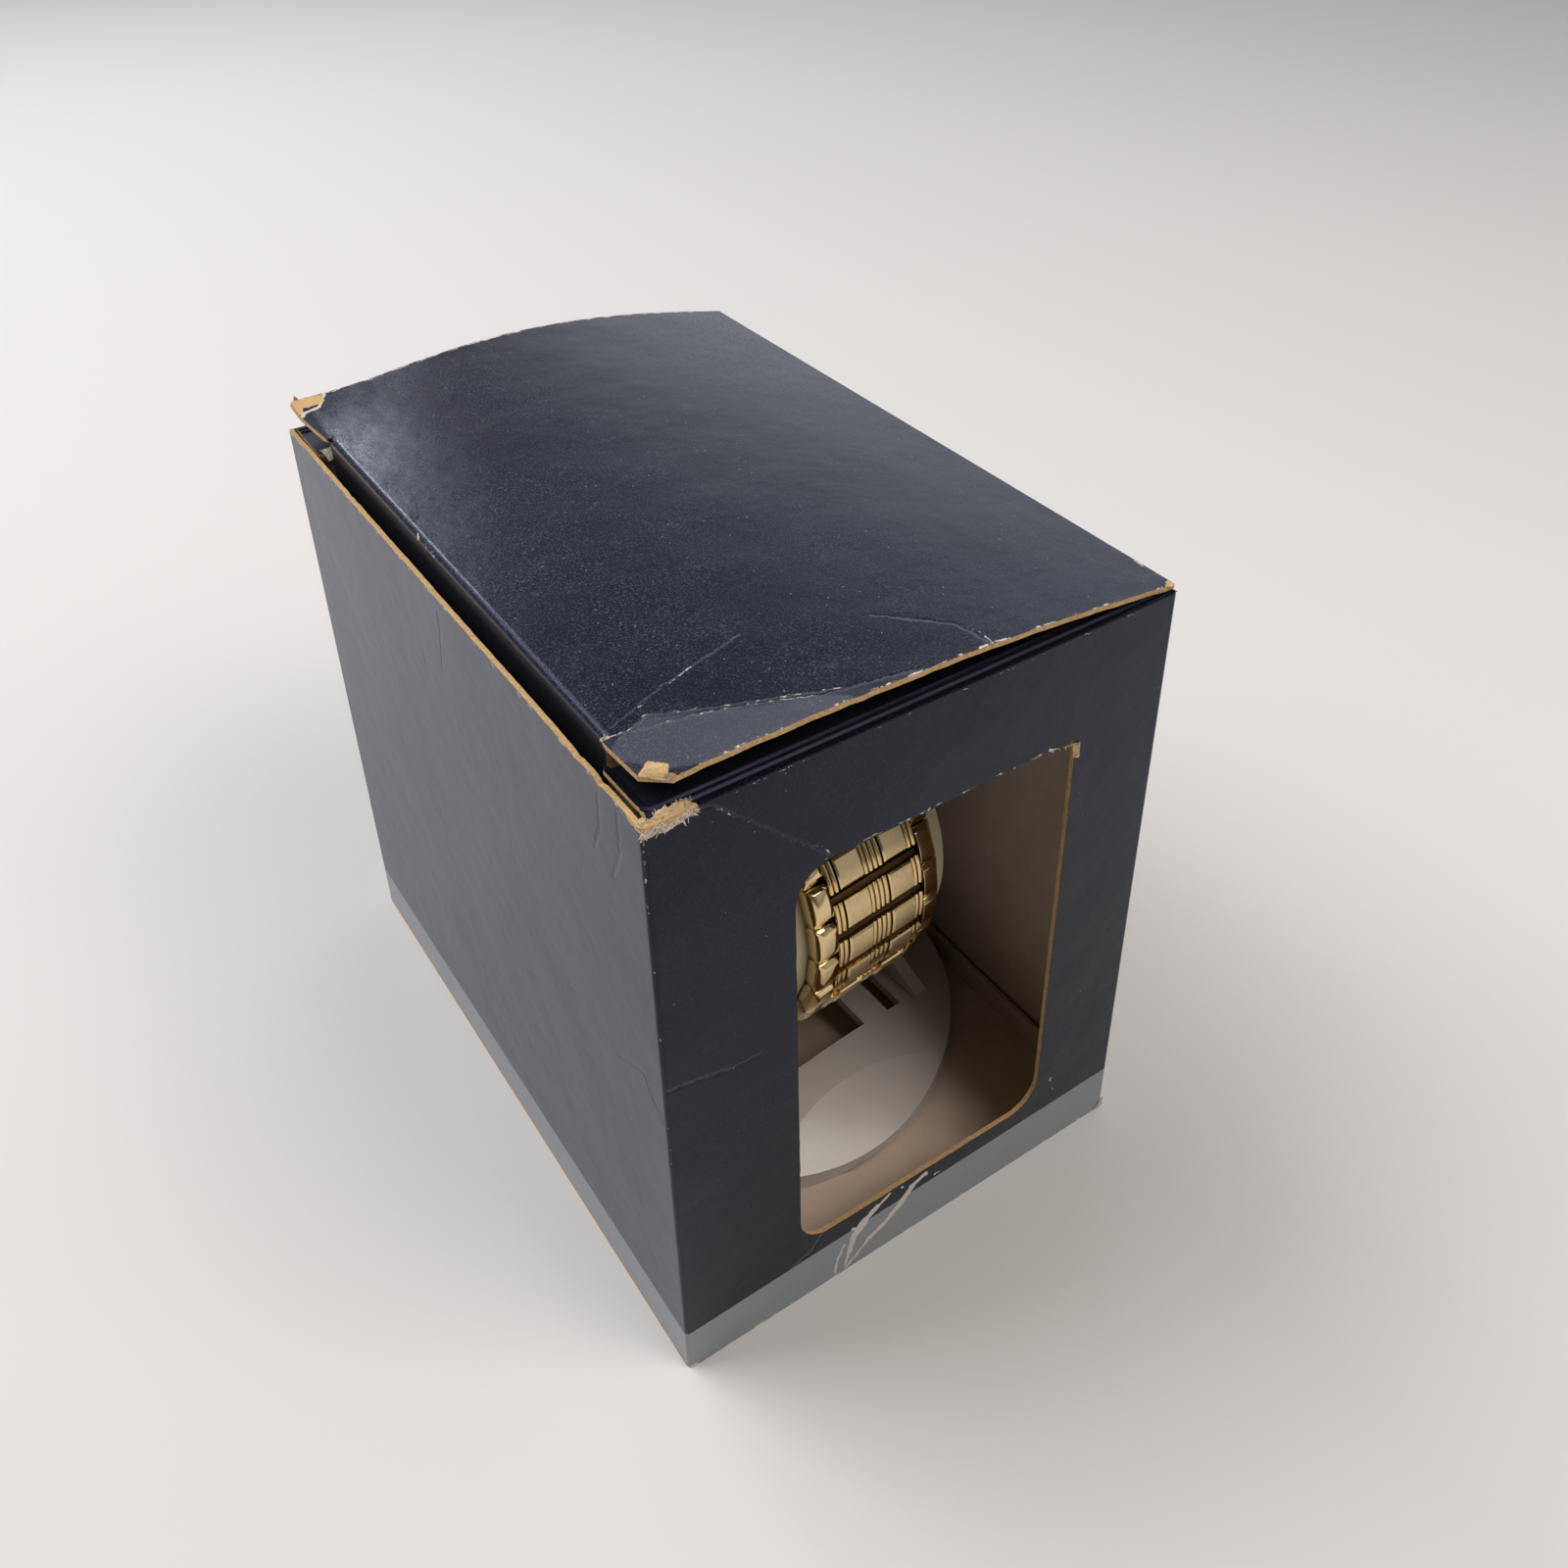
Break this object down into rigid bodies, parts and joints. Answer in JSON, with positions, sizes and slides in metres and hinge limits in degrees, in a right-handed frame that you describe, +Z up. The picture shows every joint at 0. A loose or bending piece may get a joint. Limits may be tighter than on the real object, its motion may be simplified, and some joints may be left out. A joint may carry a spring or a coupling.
{
  "type": "watch box",
  "caption": "Folded card carton with a round-cornered window, tuck-in lid and bottom, holding a wristwatch closed round a cuff on a round moulded stand.",
  "frame": {"origin": "middle of the carton's underside, on the surface it stands on", "axes": "+Z up, -Y out of the window face, +X to the right seen from the front, where the lid's hinge is"},
  "size_m": [0.089, 0.127, 0.1215],
  "materials": {
    "printed_board": "matt print, varnished",
    "lid_board": "matt print, varnished",
    "band_board": "silver-grey print",
    "plain_board": "uncoated inside of the board",
    "white_plastic": "moulded, glossy",
    "cream_plastic": "moulded, satin",
    "case_gold": "gold-tone plated, polished",
    "polished_gold": "gold-tone plated, mirror polished",
    "link_gold": "gold-tone plated, brushed and polished",
    "hand_gold": "gold-tone plated, brushed",
    "crystal_glass": "mineral glass",
    "nylon": "moulded",
    "dial_enamel": "satin lacquer",
    "movement_brass": "plain",
    "steel": "plain"
  },
  "bodies": {
    "carton": {"front_wall": "printed_board", "left_wall": "printed_board", "back_wall": "printed_board", "right_wall": "printed_board", "glue_flap": "plain_board", "bottom_front_dust_flap": "plain_board", "bottom_back_dust_flap": "plain_board"},
    "bottom_closure": {"bottom_panel": "band_board", "bottom_tuck_flap": "plain_board"},
    "lid": {"lid_panel": "lid_board"},
    "lid_tuck": {"tuck_flap": "printed_board"},
    "front_dust": {"front_dust_flap": "printed_board"},
    "back_dust": {"back_dust_flap": "printed_board"},
    "stand": {"stand_base": "white_plastic", "cuff": "cream_plastic"},
    "watch": {"case_middle": "case_gold", "case_back": "case_gold", "bezel": "polished_gold", "crystal": "crystal_glass", "crystal_gasket": "nylon", "dial": "dial_enamel", "dial_ring": "hand_gold", "hour_markers": "hand_gold", "movement": "movement_brass", "movement_holder": "nylon", "end_links": "link_gold", "spring_bars": "steel", "centre_links": "link_gold", "outer_links": "link_gold", "link_pins": "steel", "clasp_plate": "link_gold", "clasp_cover": "polished_gold", "clasp_hinge_pin": "steel"},
    "stem": {"winding_stem": "steel"},
    "crown_knob": {"crown": "polished_gold"},
    "minute": {"minute_hand": "hand_gold"},
    "hour": {"hour_hand": "hand_gold"}
  },
  "joints": [
    {"name": "lid_hinge", "type": "hinge", "parent": "carton", "child": "lid", "pos_m": [0.0445, 0, 0.114], "axis": [0, 1, 0], "range_deg": [0, 175]},
    {"name": "lid_tuck_fold", "type": "hinge", "parent": "lid", "child": "lid_tuck", "pos_m": [-0.0419, 0, 0.117], "axis": [0, 1, 0], "range_deg": [0, 27]},
    {"name": "front_dust_fold", "type": "hinge", "parent": "carton", "child": "front_dust", "pos_m": [0, -0.0627, 0.1132], "axis": [-1, 0, 0], "range_deg": [0, 20]},
    {"name": "back_dust_fold", "type": "hinge", "parent": "carton", "child": "back_dust", "pos_m": [0, 0.0627, 0.1132], "axis": [1, 0, 0], "range_deg": [0, 75]},
    {"name": "bottom_hinge", "type": "hinge", "parent": "carton", "child": "bottom_closure", "pos_m": [-0.0445, 0, 0.0008], "axis": [0, 1, 0], "range_deg": [0, 95]},
    {"name": "stand_turn", "type": "hinge", "parent": "carton", "child": "stand", "pos_m": [0, -0.0077, 0.0018], "axis": [0, 0, 1], "range_deg": [-50, 50]},
    {"name": "watch_slip", "type": "hinge", "parent": "stand", "child": "watch", "pos_m": [0.00113, -0.01844, 0.0564], "axis": [0.9945, 0.1045, 0], "range_deg": [-18, 18]},
    {"name": "crown_pull", "type": "slide", "parent": "watch", "child": "stem", "axis": [0.9945, 0.1045, 0], "range_m": [0, 0.001]},
    {"name": "crown_turn", "type": "hinge", "parent": "stem", "child": "crown_knob", "pos_m": [0.00113, -0.01844, 0.0859], "axis": [0.9945, 0.1045, 0], "continuous": true},
    {"name": "minute_turn", "type": "hinge", "parent": "watch", "child": "minute", "pos_m": [0.00113, -0.01844, 0.0874], "axis": [0, 0, -1], "continuous": true},
    {"name": "hour_turn", "type": "hinge", "parent": "watch", "child": "hour", "pos_m": [0.00113, -0.01844, 0.0874], "axis": [0, 0, -1], "continuous": true}
  ],
  "couplings": [
    {"joint": "lid_tuck_fold", "follows": "lid_hinge", "ratio": 0.15},
    {"joint": "hour_turn", "follows": "minute_turn", "ratio": 0.083333}
  ]
}
